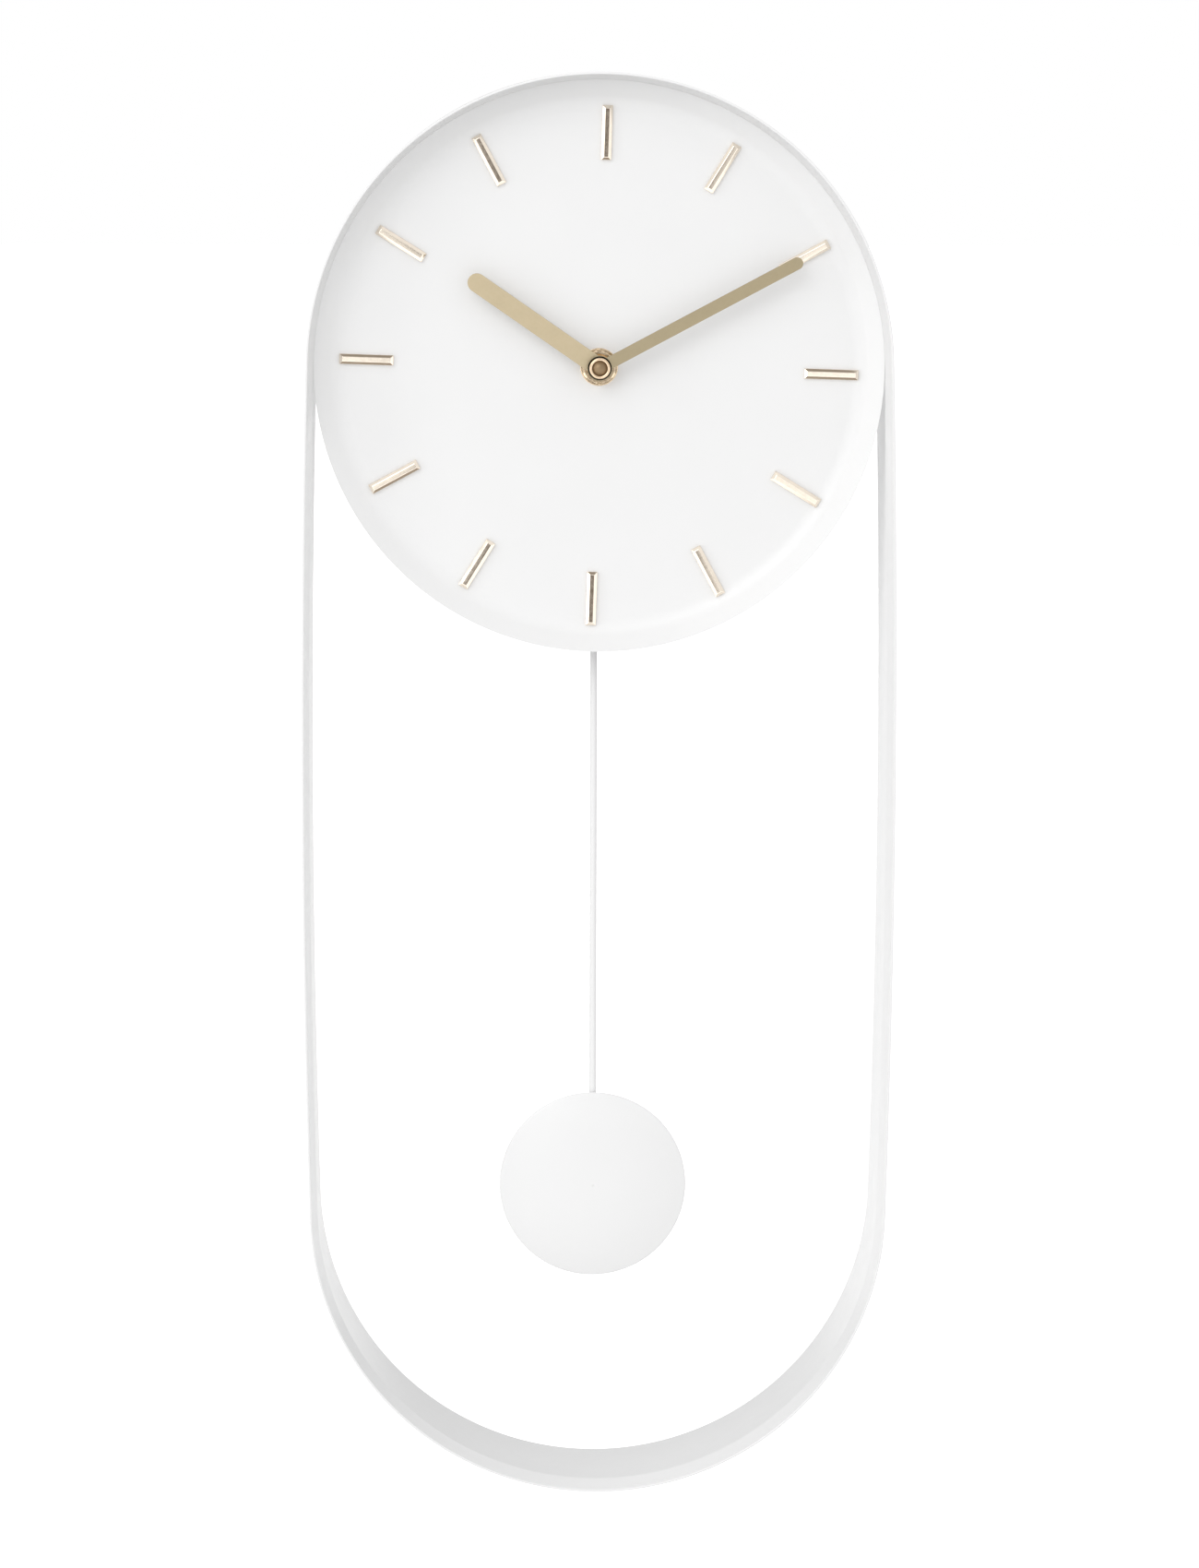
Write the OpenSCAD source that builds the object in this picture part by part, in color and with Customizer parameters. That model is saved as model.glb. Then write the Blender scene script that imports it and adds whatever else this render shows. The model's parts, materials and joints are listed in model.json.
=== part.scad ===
// Pendulum wall clock: a painted steel loop with a pressed dish dial, a battery
// movement behind the dial and a free-swinging pendulum inside the loop.
// Every piece is drawn as seen from the front, x to the right and y up, with z as
// its height above the wall. upright() then stands the drawing up, so that the
// wall is the plane y = 0 and the clock faces -Y. The origin is the middle of the
// keyhole's entry, on the wall.

/* [Loop] */
// Outer radius of the loop's round ends
loop_r = 100; // [90:1:120]
// Distance between the centres of the two round ends
loop_span = 292; // [280:1:340]
// How far each long side bows outwards in the middle
loop_bulge = 2; // [1:0.5:4]
// Depth of the loop, from the wall to its front edge
loop_depth = 48; // [47:1:60]
// Thickness of the steel strip
loop_wall = 2.5; // [2:0.1:3]

/* [Dial] */
// How far the dish's rim lies behind the loop's front edge
dish_recess = 10; // [8:0.5:12]
// Depth of the dish, from its rim to the dial's face
dish_depth = 5.5; // [4.5:0.5:6.5]
// Slope of the dish's wall, in degrees from the dial's face
dish_slope = 35; // [32:1:45]
// Radius of the curve between the dial's face and the sloping wall
dish_curve = 10; // [5:0.5:12]
// Thickness of the dish's sheet
dish_wall = 0.8; // [0.6:0.1:1]
// Clockwise turn of the printed dial in its loop, in degrees
dial_turn = 1.75; // [0:0.05:3]
// Radius of the circle through the hour markers' middles
marker_ring = 79.6; // [70:0.1:80]
// Length of an hour marker
marker_length = 18.5; // [14:0.5:19]
// Width of an hour marker
marker_width = 3.5; // [2.5:0.1:5]
// Height of an hour marker above the face
marker_height = 1.8; // [1:0.1:2.5]
// Width of the slope along a marker's edges
marker_bevel = 1.2; // [0.5:0.1:1.5]

/* [Hands] */
// Length of the hour hand from the axis to its tip
hour_length = 54; // [40:1:60]
// Width of the hour hand
hour_width = 6.4; // [4:0.1:8]
// Direction of the hour hand, in degrees clockwise from 12
hour_angle = 304.6; // [0:0.1:360]
// Length of the minute hand from the axis to its tip
minute_length = 78; // [60:1:80]
// Width of the minute hand
minute_width = 4.2; // [3:0.1:6]
// Direction of the minute hand, in degrees clockwise from 12
minute_angle = 62; // [0:0.1:360]
// Thickness of both hands
hand_wall = 0.5; // [0.3:0.1:0.6]

/* [Pendulum] */
// Sideways place of the pendulum's pivot
pendulum_x = -1.3; // [-2:0.1:2]
// Drop from the dial's axis to the pendulum's pivot
pivot_drop = 36; // [36:0.5:37]
// Drop from the dial's axis to the middle of the bob
bob_drop = 287.4; // [270:0.1:300]
// Diameter of the pendulum's rod
rod_d = 2.4; // [2:0.1:3]
// Radius of the bob
bob_r = 32.7; // [25:0.1:40]
// Height of the bob's dome
bob_dome = 5; // [3:0.5:7]
// Thickness of the bob's sheet
bob_wall = 1.2; // [0.8:0.1:1.5]

/* [Fixing] */
// Height of the keyhole's entry above the dial's axis
hang = 58; // [56:1:60]
// Radius of the keyhole's entry
key_entry_r = 5; // [4.5:0.5:5.5]
// Width of the keyhole's slot
key_slot = 5; // [4.5:0.5:6]
// Height of the keyhole's slot above the middle of the entry
key_rise = 11; // [11:0.5:12]
// Thickness of the hanger bar and the side tabs
bar_wall = 1.5; // [1.5:0.1:2]

/* [Hidden] */
$fn = 72;
slip = 0.05;        // radial clearance of a shaft that turns in a hole
eps = 0.01;         // overlap that keeps two joined shapes one solid

// Loop: the side arcs meet the end arcs without a corner
half_span = loop_span / 2;
side_r = (half_span * half_span + pow(loop_r + loop_bulge, 2) - loop_r * loop_r) / (2 * loop_bulge);
side_turn = asin(half_span / (side_r - loop_r));   // half the angle of a side arc
loop_y = -hang - half_span;         // middle of the loop
bow_far = side_r - loop_r - loop_bulge;    // centre of a side arc, from the middle

// Dish
dish_r = loop_r - loop_wall - slip;
dish_hole_r = 4.1;
curve_in = dish_curve * sin(dish_slope);    // width and height of the curve
curve_up = dish_curve * (1 - cos(dish_slope));
foot_r = dish_r - curve_in - (dish_depth - curve_up) / tan(dish_slope);

// Heights above the wall
rim_h = loop_depth - dish_recess;
face_h = rim_h - dish_depth;
dish_back_h = face_h - dish_wall;
gasket_wall = 1;
gasket_r = 9;
case_front_h = dish_back_h - gasket_wall;
case_wall = 1.5;
case_depth = 18.45;
inside_front_h = case_front_h - case_wall;
case_rear_h = case_front_h - case_depth;
cover_wall = 1.5;
inside_rear_h = case_rear_h + cover_wall;
socket_depth = 0.7;                 // depth of the arbors' bearing sockets
socket_end = 0.1;                   // play at the end of an arbor

// Movement case, measured from the dial's axis
case_half = 30;
case_top = 26;
case_bottom = -66;
case_corner = 3;
bay_top = -12;                      // battery bay
bay_bottom = -27.4;
rib = 1.2;                          // walls above and below the battery bay
inner_half = case_half - case_wall;
slot_half = 8;                      // half width of the slot that the lever hangs through
slot_h = case_rear_h + 10;

// Shaft stack
bush_r = 4;
bush_end_h = face_h + 3.6;
tube_r = 3;                         // hour wheel's tube
arbor_r = 1.5;                      // minute arbor
pivot_r = 0.6;                      // turned-down ends of every arbor
washer_r = 6.45;
washer_wall = 0.5;
nut_r = 6.2;
nut_wall = 2.2;
hour_hand_h = face_h + 6.7;
minute_hand_h = face_h + 8.6;
hour_hub_r = 4.2;
minute_hub_r = 4.3;
hub_lip = 0.3;                      // how far the minute hand's hub reaches behind its blade
cap_r = 3.6;
cap_recess_r = 2.65;
cap_wall = 1.5;
cap_recess = 0.4;
tip_r = 1.2;                        // threaded tip of the minute arbor
tip_length = 0.8;                   // how far it runs into the nut

// Gear trains: [teeth], modules and the places of the arbors
motion_m = 0.5;
hour_m = 0.48;
train_m = 0.3;
third_m = 0.28;
cannon_z = 12;
minute_z = 36;
minute_pinion_z = 10;
hour_z = 40;
knob_z = 18;
pinion_z = 8;
fifth_z = 40;
seconds_z = 48;
third_z = 60;
centre_z = 64;
to_minute = 150;                    // direction from the dial's axis to the minute wheel
to_knob = 120;                      // from the minute wheel to the setting knob
to_third = 50;                      // from the dial's axis to the third wheel
to_seconds = -10;                   // from the third wheel to the seconds wheel
to_fifth = 100;                     // from the seconds wheel to the fifth wheel
to_rotor = 0;                       // from the fifth wheel to the rotor
minute_at = polar(mesh_gap(cannon_z, minute_z, motion_m), to_minute);
knob_at = minute_at + polar(mesh_gap(minute_z, knob_z, motion_m), to_knob);
third_at = polar(mesh_gap(centre_z, pinion_z, train_m), to_third);
seconds_at = third_at + polar(mesh_gap(third_z, pinion_z, third_m), to_seconds);
fifth_at = seconds_at + polar(mesh_gap(seconds_z, pinion_z, train_m), to_fifth);
rotor_at = fifth_at + polar(mesh_gap(fifth_z, pinion_z, train_m), to_rotor);
minute_turned = mesh_phase(to_minute, 0, cannon_z, minute_z);
hour_turned = mesh_phase(to_minute + 180, 0, minute_pinion_z, hour_z);
knob_turned = mesh_phase(to_knob, minute_turned, minute_z, knob_z);
third_turned = mesh_phase(to_seconds + 180, 0, pinion_z, third_z);
centre_turned = mesh_phase(to_third + 180, 0, pinion_z, centre_z);
seconds_turned = mesh_phase(to_fifth + 180, 0, pinion_z, seconds_z);
fifth_turned = mesh_phase(to_rotor + 180, 0, pinion_z, fifth_z);

// Heights of the wheels
hour_wheel_h = case_rear_h + 15.4;
cannon_h = case_rear_h + 13.1;
centre_h = case_rear_h + 11.2;
third_h = case_rear_h + 8.6;
seconds_h = case_rear_h + 6.4;
fifth_h = case_rear_h + 4.2;
wheel_wall = 1;
pinion_wall = 1.5;
pinion_lap = 0.2;                   // how far a pinion starts behind the wheel that it drives
knob_r = 5;
knob_h = [-4.5, -0.3];              // from the case's rear face
knob_axle_r = 1;
flute_r = 0.7;
flutes = 12;

// Rotor, stator and its coil
stator_h = case_rear_h + 10.1;
stator_wall = 0.8;
stator_x = [18.2, 28.2];
stator_ring = [3.5, 6];             // inner and outer radius around the rotor
stator_leg = 1.4;
stator_leg_length = 15;
core = 1.6;                         // width of the coil's core
rotor_r = [1, 3];                   // inner and outer radius of the magnet
rotor_h = case_rear_h + 9.4;
rotor_wall = 2.2;
coil_y = -4;
coil_x = [19.7, 26.7];
spool_r = 1.4;
spool_flange_r = 3;
spool_flange = 0.6;
coil_r = 2.7;

// Circuit board, flat against the case's front wall
board_at = [12, -9.5];
board_size = [15, 9.5];
board_wall = 0.9;
can_at = [14, -8.5];                // crystal's can
can_r = 0.9;
can_length = 6;

// Battery: an AA cell
cell_r = 7.2;
cell_length = 49;
cell_nub_r = 2.7;
cell_nub = 1.4;
cell_x = -24.2;
cell_y = (bay_top + bay_bottom) / 2;
cell_h = case_rear_h + 9;
contact_h = [case_rear_h + 4, case_rear_h + 14];
contact_wall = 0.4;
contact_half = 5;

// Pendulum drive
pivot_y = -hang - pivot_drop;
bob_y = -hang - bob_drop;
lever_h = case_rear_h + 5;
lever_wall = 2;
lever_half = [2.6, 1.5];            // half widths of its upper and lower parts
lever_taper = 8;                    // length of the taper between them
lever_end = 2.4;                    // how far it runs below the peg
hub_h = [case_rear_h + 3.5, case_rear_h + 8.5];
hub_r = 2.8;
boss_r = 2.5;                       // bosses that hold the pin
boss_gap = 0.5;
pin_r = 0.8;
magnet_drop = 14;                   // from the pivot to the driving magnet
magnet_r = 4.2;
magnet_cup = 1.2;                   // wall of the cup around it
drive_h = case_rear_h + 10.4;       // coil that pushes the magnet
drive_core_r = 2.4;
drive_flange_r = 7.5;
drive_flange = 0.7;
drive_coil_r = 6.9;
eye_drop = 34;                      // from the pivot to the peg that the rod hangs on
peg_r = 0.95;
eye_r = 2.45;                       // outer radius of the rod's eye
eye_half = rod_d / 2 - 0.3;         // half the thickness of the flattened eye
rod_h = lever_h + lever_wall + rod_d / 2 + 0.1;
rod_end = 10;                       // how far the rod runs past the middle of the bob
bob_back_h = rod_h + rod_d / 2 + 0.3;
dome_r = (bob_r * bob_r + bob_dome * bob_dome) / (2 * bob_dome);
clip_half = [4, 7];
clip_back = 1;                      // clip's thickness behind the rod

// Hanger bar, studs and side tabs
bar_low = -12.5;                    // edges of the bar, from the keyhole's entry
bar_high = key_rise + key_slot / 2 + 5;
bar_end_r = loop_r - loop_wall - 0.03;
tab_y = [5, 17];                    // from the dial's axis
tab_from = 66;
tab_low = 10;                       // height above the wall where a tab's welded leg starts
stud_x = 45;
stud_r = 2.5;
screw_r = 1.4;
screw_head_r = 2.7;
screw_head = 1.3;
screw_length = 10;
screw_gap = 0.1;
cross = [2.8, 0.6];                 // length and width of the cross recess
cross_depth = 0.7;

function polar(r, angle) = [r * cos(angle), r * sin(angle)];
function arc(centre, r, from, to, n) =
    [for (i = [0:n]) centre + polar(r, from + (to - from) * i / n)];
function mesh_gap(z1, z2, m) = m * (z1 + z2) / 2;
// Turn of the second wheel that puts its gap on the first wheel's tooth
function mesh_phase(beta, turned, z1, z2) =
    beta + 180 - 180 / z2 + (beta - turned) * z1 / z2;

// Closed outline of the loop, inset by a thickness
function loop_points(inset) =
    let(r = loop_r - inset, big = side_r - inset, n = 48, m = 16, a = side_turn)
    concat(
        arc([0, half_span], r, a, 180 - a, n),
        arc([bow_far, 0], big, 180 - a, 180 + a, m),
        arc([0, -half_span], r, 180 + a, 360 - a, n),
        arc([-bow_far, 0], big, -a, a, m));

module upright() rotate([90, 0, 0]) children();

// A flat piece between two heights above the wall
module slab(low, high) translate([0, 0, low]) linear_extrude(high - low) children();

module disc(low, high, r) translate([0, 0, low]) cylinder(r = r, h = high - low);

// Moves a piece from the dial's axis to its place
module on_axis() upright() translate([0, -hang]) children();

module on_pivot() upright() translate([pendulum_x, pivot_y]) children();

module chamfered(x0, x1, y0, y1, c)
    polygon([[x0 + c, y0], [x1 - c, y0], [x1, y0 + c], [x1, y1 - c],
        [x1 - c, y1], [x0 + c, y1], [x0, y1 - c], [x0, y0 + c]]);

// Straight-flanked gear outline, with running clearance between the teeth
module gear(z, m, turned = 0) {
    rp = m * z / 2;
    tip = rp + 0.8 * m;
    root = rp - 1.15 * m;
    half_root = 83 / z;
    half_tip = 36 / z;
    polygon([for (i = [0:z - 1]) let(a = turned + i * 360 / z)
        each [polar(root, a - half_root), polar(tip, a - half_tip),
            polar(tip, a + half_tip), polar(root, a + half_root)]]);
}

// Wheel with its pinion and arbor; the pinion's height is centred on what it drives
module wheel(z, m, turned, wheel_h, pinion_m, drives_h) {
    slab(wheel_h, wheel_h + wheel_wall) difference() {
        gear(z, m, turned);
        for (i = [0:3]) rotate(turned + 45 + 90 * i) translate([z * m * 0.28, 0])
            circle(r = z * m * 0.09, $fn = 24);
    }
    pinion(drives_h, pinion_m);
    arbor();
}

module pinion(drives_h, m)
    slab(drives_h - pinion_lap, drives_h + pinion_wall - pinion_lap) gear(pinion_z, m);

module arbor() disc(inside_rear_h - socket_depth, inside_front_h + socket_depth, pivot_r);

module sockets(low, high)
    for (p = [[0, 0], minute_at, third_at, seconds_at, fifth_at, rotor_at])
        translate(p) disc(low, high, pivot_r + slip);

// ---- Loop and dial ----

module band_frame() color("white") upright() translate([0, loop_y])
    slab(0, loop_depth) difference() {
        polygon(loop_points(0));
        polygon(loop_points(loop_wall));
    }

// Flat face, a curve and a sloping wall, all of one sheet that butts on the loop
module dial_dish() color("white") on_axis() rotate_extrude($fn = 180)
    let(centre = [foot_r, face_h + dish_curve], from = 270, to = 270 + dish_slope)
        polygon(concat([[dish_hole_r, face_h]], arc(centre, dish_curve, from, to, 5),
            [[dish_r, rim_h], [dish_r, rim_h - dish_wall / cos(dish_slope)]],
            arc(centre, dish_curve + dish_wall, to, from, 5), [[dish_hole_r, dish_back_h]]));

// One marker: a bar with four sloping sides, lying along y
module marker() {
    half = marker_width / 2;
    top = half - marker_bevel;
    intersection() {
        rotate([90, 0, 0]) linear_extrude(marker_length + 1, center = true)
            polygon([[-half, 0], [half, 0], [top, marker_height], [-top, marker_height]]);
        rotate([90, 0, 90]) linear_extrude(marker_width + 1, center = true)
            polygon([[-marker_length / 2, 0], [marker_length / 2, 0],
                [marker_length / 2 - marker_bevel, marker_height],
                [marker_bevel - marker_length / 2, marker_height]]);
    }
}

module hour_markers() color([0.85, 0.76, 0.64]) on_axis()
    for (hour = [1:12]) rotate(-30 * hour - dial_turn)
        translate([0, marker_ring, face_h]) marker();

// ---- Fixing ----

module at_studs() for (s = [-1, 1]) translate([s * stud_x, 0]) children();

// Its ends follow the inside of the loop
module hanger_bar() color("gainsboro") upright() difference() {
    low = asin((bar_low + hang) / bar_end_r);
    high = asin((bar_high + hang) / bar_end_r);
    slab(0, bar_wall) difference() {
        polygon(concat(arc([0, -hang], bar_end_r, low, high, 6),
            arc([0, -hang], bar_end_r, 180 - high, 180 - low, 6)));
        circle(r = key_entry_r);
        translate([-key_slot / 2, 0]) square([key_slot, key_rise]);
        translate([0, key_rise]) circle(r = key_slot / 2);
    }
    at_studs() {
        disc(-1, bar_wall + 1, screw_r + screw_gap);
        translate([0, 0, -eps]) cylinder(r1 = screw_head_r, r2 = screw_r + screw_gap, h = screw_head);
    }
}

// Angle tabs that join the back of the dish to the loop
module side_tabs() color("gainsboro") on_axis() for (s = [0, 1]) mirror([s, 0]) {
    edge = sqrt(pow(bar_end_r, 2) - pow(tab_y[1], 2));
    translate([0, tab_y[1], 0]) rotate([90, 0, 0]) linear_extrude(tab_y[1] - tab_y[0])
        polygon([[tab_from, dish_back_h], [tab_from, dish_back_h - bar_wall],
            [edge - bar_wall, dish_back_h - bar_wall], [edge - bar_wall, tab_low],
            [edge, tab_low], [edge, dish_back_h]]);
}

module dish_studs() color("silver") upright() at_studs() difference() {
    disc(bar_wall, dish_back_h, stud_r);
    disc(bar_wall - 1, screw_length + 1, screw_r);
}

// Countersunk screws, a little below the bar's rear face
module stud_screws() color("dimgray") upright() at_studs() difference() {
    union() {
        translate([0, 0, screw_gap])
            cylinder(r1 = screw_head_r - 2.5 * screw_gap, r2 = screw_r, h = screw_head - 2 * screw_gap);
        disc(screw_head - 2 * screw_gap, screw_length, screw_r);
    }
    slab(-1, cross_depth) union() {
        square(cross, center = true);
        square([cross[1], cross[0]], center = true);
    }
}

// ---- Movement ----

module threaded_bush() color("goldenrod") on_axis() difference() {
    disc(inside_front_h, bush_end_h, bush_r);
    disc(inside_front_h - 1, bush_end_h + 1, tube_r + slip);
}

module rubber_gasket() color("darkslategray") on_axis() difference() {
    disc(case_front_h, dish_back_h, gasket_r);
    disc(case_front_h - 1, dish_back_h + 1, bush_r);
}

module brass_washer() color("goldenrod") on_axis() difference() {
    disc(face_h, face_h + washer_wall, washer_r);
    disc(face_h - 1, face_h + washer_wall + 1, bush_r);
}

module hex_nut() color("gold") on_axis() difference() {
    intersection() {
        translate([0, 0, face_h + washer_wall]) rotate(30) cylinder(r = nut_r, h = nut_wall, $fn = 6);
        translate([0, 0, face_h + washer_wall]) cylinder(r1 = nut_r + 2, r2 = nut_r - 0.9, h = nut_wall);
    }
    disc(face_h, bush_end_h, bush_r);
}

module movement_case() color([0.16, 0.16, 0.17]) on_axis() difference() {
    union() {
        difference() {
            slab(inside_rear_h, case_front_h)
                chamfered(-case_half, case_half, case_bottom, case_top, case_corner);
            // gear room, battery bay and pendulum room
            slab(inside_rear_h - 1, inside_front_h)
                chamfered(-inner_half, inner_half, bay_top + rib, case_top - case_wall, 2);
            slab(inside_rear_h - 1, inside_front_h)
                chamfered(-inner_half, inner_half, bay_bottom, bay_top, 0.5);
            slab(inside_rear_h - 1, inside_front_h)
                chamfered(-inner_half, inner_half, case_bottom + case_wall, bay_bottom - rib, 2);
            // slot below the lever
            translate([pendulum_x, 0]) slab(inside_rear_h - 1, slot_h)
                translate([-slot_half, case_bottom - 1]) square([2 * slot_half, 2 * case_wall + 1]);
        }
        translate([pendulum_x, -pivot_drop]) disc(hub_h[1] + boss_gap, inside_front_h + eps, boss_r);
    }
    sockets(inside_front_h - 1, inside_front_h + socket_depth + socket_end);
    disc(inside_front_h - 1, case_front_h + 1, bush_r);
    translate(knob_at)
        disc(inside_front_h - 1, inside_front_h + socket_depth + socket_end, pivot_r + slip);
    translate([pendulum_x, -pivot_drop]) disc(hub_h[1], inside_front_h + socket_depth, pin_r);
}

module movement_cover() color([0.2, 0.2, 0.21]) on_axis() difference() {
    slab(case_rear_h, inside_rear_h)
        chamfered(-case_half, case_half, bay_top, case_top, case_corner);
    sockets(inside_rear_h - socket_depth - socket_end, inside_rear_h + 1);
    translate(knob_at) disc(case_rear_h - 1, inside_rear_h + 1, knob_axle_r + slip);
}

module pendulum_cover() color([0.2, 0.2, 0.21]) on_axis() difference() {
    union() {
        slab(case_rear_h, inside_rear_h)
            chamfered(-case_half, case_half, case_bottom, bay_bottom, case_corner);
        translate([pendulum_x, -pivot_drop]) disc(inside_rear_h - eps, hub_h[0] - boss_gap, boss_r);
    }
    translate([pendulum_x, -pivot_drop]) disc(inside_rear_h - socket_depth, hub_h[0], pin_r);
}

module battery() color("silver") on_axis() translate([cell_x, cell_y, cell_h]) rotate([0, 90, 0]) {
    cylinder(r = cell_r, h = cell_length);
    translate([0, 0, cell_length - eps]) cylinder(r = cell_nub_r, h = cell_nub + eps);
}

module contact_plus() color("gold") on_axis() slab(contact_h[0], contact_h[1])
    let(at = cell_x + cell_length + cell_nub)
        translate([at, cell_y - contact_half]) {
            square([contact_wall, 2 * contact_half]);
            square([inner_half - at, contact_wall]);
        }

// A leaf that springs out from the bay's end wall to the flat end of the cell
module contact_minus() color("gold") on_axis() slab(contact_h[0], contact_h[1])
    translate([-inner_half, cell_y])
        let(leaf = cell_x + inner_half, w = contact_wall, half = contact_half)
            polygon([[0, -half], [w, -half], [w, half - 1], [leaf - w, -w / 2], [leaf - w, -half / 2],
                [leaf, -half / 2], [leaf, 0], [w, half], [0, half]]);

module circuit_board() color("darkgreen") on_axis()
    slab(inside_front_h - board_wall, inside_front_h)
        translate(board_at) square(board_size);

module quartz_crystal() color("silver") on_axis()
    translate([can_at[0], can_at[1], inside_front_h - board_wall - can_r])
        rotate([0, 90, 0]) cylinder(r = can_r, h = can_length);

module stator() color("lightslategray") on_axis() slab(stator_h, stator_h + stator_wall) difference() {
    union() {
        translate(rotor_at) circle(r = stator_ring[1]);
        translate([stator_x[0], coil_y - core / 2]) {
            square([stator_leg, stator_leg_length]);
            square([stator_x[1] - stator_x[0], core]);
        }
        translate([stator_x[1] - stator_leg, coil_y - core / 2]) square([stator_leg, stator_leg_length]);
    }
    translate(rotor_at) circle(r = stator_ring[0]);
}

// Spool on the stator's core; the winding lies between its two flanges
module on_core() on_axis() translate([0, coil_y, stator_h + stator_wall / 2]) rotate([0, 90, 0]) children();

module coil_bobbin() color("ivory") on_core() difference() {
    union() {
        disc(coil_x[0], coil_x[1], spool_r);
        disc(coil_x[0], coil_x[0] + spool_flange, spool_flange_r);
        disc(coil_x[1] - spool_flange, coil_x[1], spool_flange_r);
    }
    translate([0, 0, (coil_x[0] + coil_x[1]) / 2])
        cube([stator_wall, core, coil_x[1] - coil_x[0] + 2], center = true);
}

module coil_winding() color("sienna") on_core() difference() {
    disc(coil_x[0] + spool_flange, coil_x[1] - spool_flange, coil_r);
    disc(coil_x[0], coil_x[1], spool_r);
}

module drive_bobbin() color("ivory") on_pivot() translate([0, -magnet_drop]) {
    disc(drive_h, inside_front_h, drive_core_r);
    disc(drive_h, drive_h + drive_flange, drive_flange_r);
    disc(inside_front_h - drive_flange, inside_front_h, drive_flange_r);
}

module drive_winding() color("sienna") on_pivot() translate([0, -magnet_drop]) difference() {
    disc(drive_h + drive_flange, inside_front_h - drive_flange, drive_coil_r);
    disc(drive_h, inside_front_h, drive_core_r);
}

module pivot_pin() color("silver") on_pivot()
    disc(inside_rear_h - socket_depth, inside_front_h + socket_depth, pin_r);

// ---- Going train ----

module rotor_magnet() color("gray") on_axis() translate(rotor_at) difference() {
    disc(rotor_h, rotor_h + rotor_wall, rotor_r[1]);
    disc(rotor_h - 1, rotor_h + rotor_wall + 1, rotor_r[0]);
}

module rotor_pinion() color("ivory") on_axis() translate(rotor_at) {
    pinion(fifth_h, train_m);
    disc(rotor_h, rotor_h + rotor_wall, rotor_r[0]);
    arbor();
}

module fifth_wheel() color("ivory") on_axis() translate(fifth_at)
    wheel(fifth_z, train_m, fifth_turned, fifth_h, train_m, seconds_h);

module seconds_wheel() color("wheat") on_axis() translate(seconds_at)
    wheel(seconds_z, train_m, seconds_turned, seconds_h, third_m, third_h);

module third_wheel() color("ivory") on_axis() translate(third_at)
    wheel(third_z, third_m, third_turned, third_h, train_m, centre_h);

module centre_wheel() color("wheat") on_axis() difference() {
    union() {
        slab(centre_h, centre_h + wheel_wall) gear(centre_z, train_m, centre_turned);
        disc(centre_h - 0.8, centre_h + wheel_wall, 3);
    }
    disc(centre_h - 2, centre_h + 2, arbor_r + slip);
}

// ---- Motion work and hands ----

module minute_arbor() color("goldenrod") on_axis() {
    disc(inside_rear_h + 0.7, minute_hand_h, arbor_r);
    slab(cannon_h - 0.1, cannon_h + 1.3) gear(cannon_z, motion_m);
    disc(inside_rear_h - socket_depth, inside_rear_h + 1, pivot_r);
    disc(minute_hand_h - eps, minute_hand_h + hand_wall + tip_length, tip_r);
}

module minute_wheel() color("ivory") on_axis() translate(minute_at) {
    slab(cannon_h, cannon_h + wheel_wall) gear(minute_z, motion_m, minute_turned);
    slab(hour_wheel_h - 0.3, hour_wheel_h + 1.2) gear(minute_pinion_z, hour_m);
    arbor();
}

module hour_wheel() color("wheat") on_axis() difference() {
    union() {
        slab(hour_wheel_h, hour_wheel_h + wheel_wall) gear(hour_z, hour_m, hour_turned);
        disc(hour_wheel_h, hour_hand_h + hand_wall, tube_r);
    }
    disc(hour_wheel_h - 1, hour_hand_h + 2, arbor_r + slip);
}

module setting_knob() color("ivory") on_axis() translate(knob_at) {
    slab(cannon_h, cannon_h + wheel_wall) gear(knob_z, motion_m, knob_turned);
    disc(case_rear_h + knob_h[0] + 1, cannon_h + wheel_wall, knob_axle_r);
    disc(cannon_h, inside_front_h + socket_depth, pivot_r);
    slab(case_rear_h + knob_h[0], case_rear_h + knob_h[1]) difference() {
        circle(r = knob_r);
        for (i = [0:flutes - 1]) rotate(i * 360 / flutes) translate([knob_r + flute_r / 2, 0])
            circle(r = flute_r, $fn = 16);
    }
}

// A blade with one round end, and a round hub from hub_low to the blade's front
module hand(length, width, h, hub_r, hub_low) {
    slab(h, h + hand_wall) {
        translate([-width / 2, 0]) square([width, length - width / 2]);
        translate([0, length - width / 2]) circle(r = width / 2);
    }
    disc(hub_low, h + hand_wall, hub_r);
}

module hour_hand() color([0.72, 0.66, 0.54]) on_axis() rotate(-hour_angle) difference() {
    hand(hour_length, hour_width, hour_hand_h, hour_hub_r, hour_hand_h);
    disc(hour_hand_h - 1, hour_hand_h + 2, tube_r);
}

module minute_hand() color([0.65, 0.59, 0.47]) on_axis() rotate(-minute_angle) difference() {
    hand(minute_length, minute_width, minute_hand_h, minute_hub_r, minute_hand_h - hub_lip);
    disc(minute_hand_h - 1, minute_hand_h + 2, tip_r);
    disc(minute_hand_h - 1, minute_hand_h, arbor_r);
}

module hand_nut() color([0.8, 0.68, 0.5]) on_axis()
    translate([0, 0, minute_hand_h + hand_wall]) difference() {
        cylinder(r = cap_r, h = cap_wall);
        disc(cap_wall - cap_recess, cap_wall + 1, cap_recess_r);
        disc(-1, tip_length, tip_r);
    }

// ---- Pendulum ----

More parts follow.
